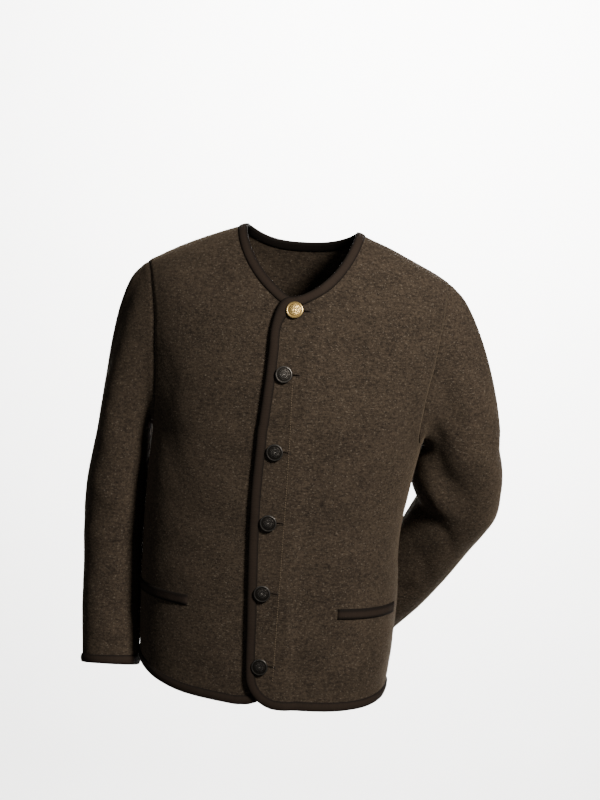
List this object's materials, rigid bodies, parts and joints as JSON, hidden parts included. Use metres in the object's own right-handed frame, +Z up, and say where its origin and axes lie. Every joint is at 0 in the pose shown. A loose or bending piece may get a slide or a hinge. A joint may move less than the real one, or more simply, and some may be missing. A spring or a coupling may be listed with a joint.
{
  "type": "worn men's round-neck boiled-wool button-front cardigan jacket",
  "caption": "Hollow worn cardigan of felted wool with a round neck, dark bound edges, welt pockets and metal buttons; one sleeve hangs, the other bends behind the back.",
  "frame": {"origin": "on the centre line, midway between the two neck points of the shoulder seams, where the garment hangs on the wearer's neck and shoulders", "axes": "+Z up the body; -Y is the front; +X is the wearer's left"},
  "size_m": [0.6219, 0.3445, 0.6899],
  "materials": {
    "wool": "matt felted melange knit",
    "binding": "matt knitted tape",
    "brass_button": "polished relief",
    "antique_button": "dark patina with worn rim"
  },
  "bodies": {
    "root": {"front_left": "wool", "front_right": "wool", "back": "wool", "sleeve_left": "wool", "sleeve_right": "wool", "front_binding_left": "binding", "front_binding_right": "binding", "neck_binding_back": "binding", "hem_binding_back": "binding", "cuff_binding_left": "binding", "cuff_binding_right": "binding", "pocket_welt_left": "binding", "pocket_welt_right": "binding", "button_1": "brass_button", "button_2": "antique_button", "button_3": "antique_button", "button_4": "antique_button", "button_5": "antique_button", "button_6": "antique_button"}
  },
  "joints": []
}
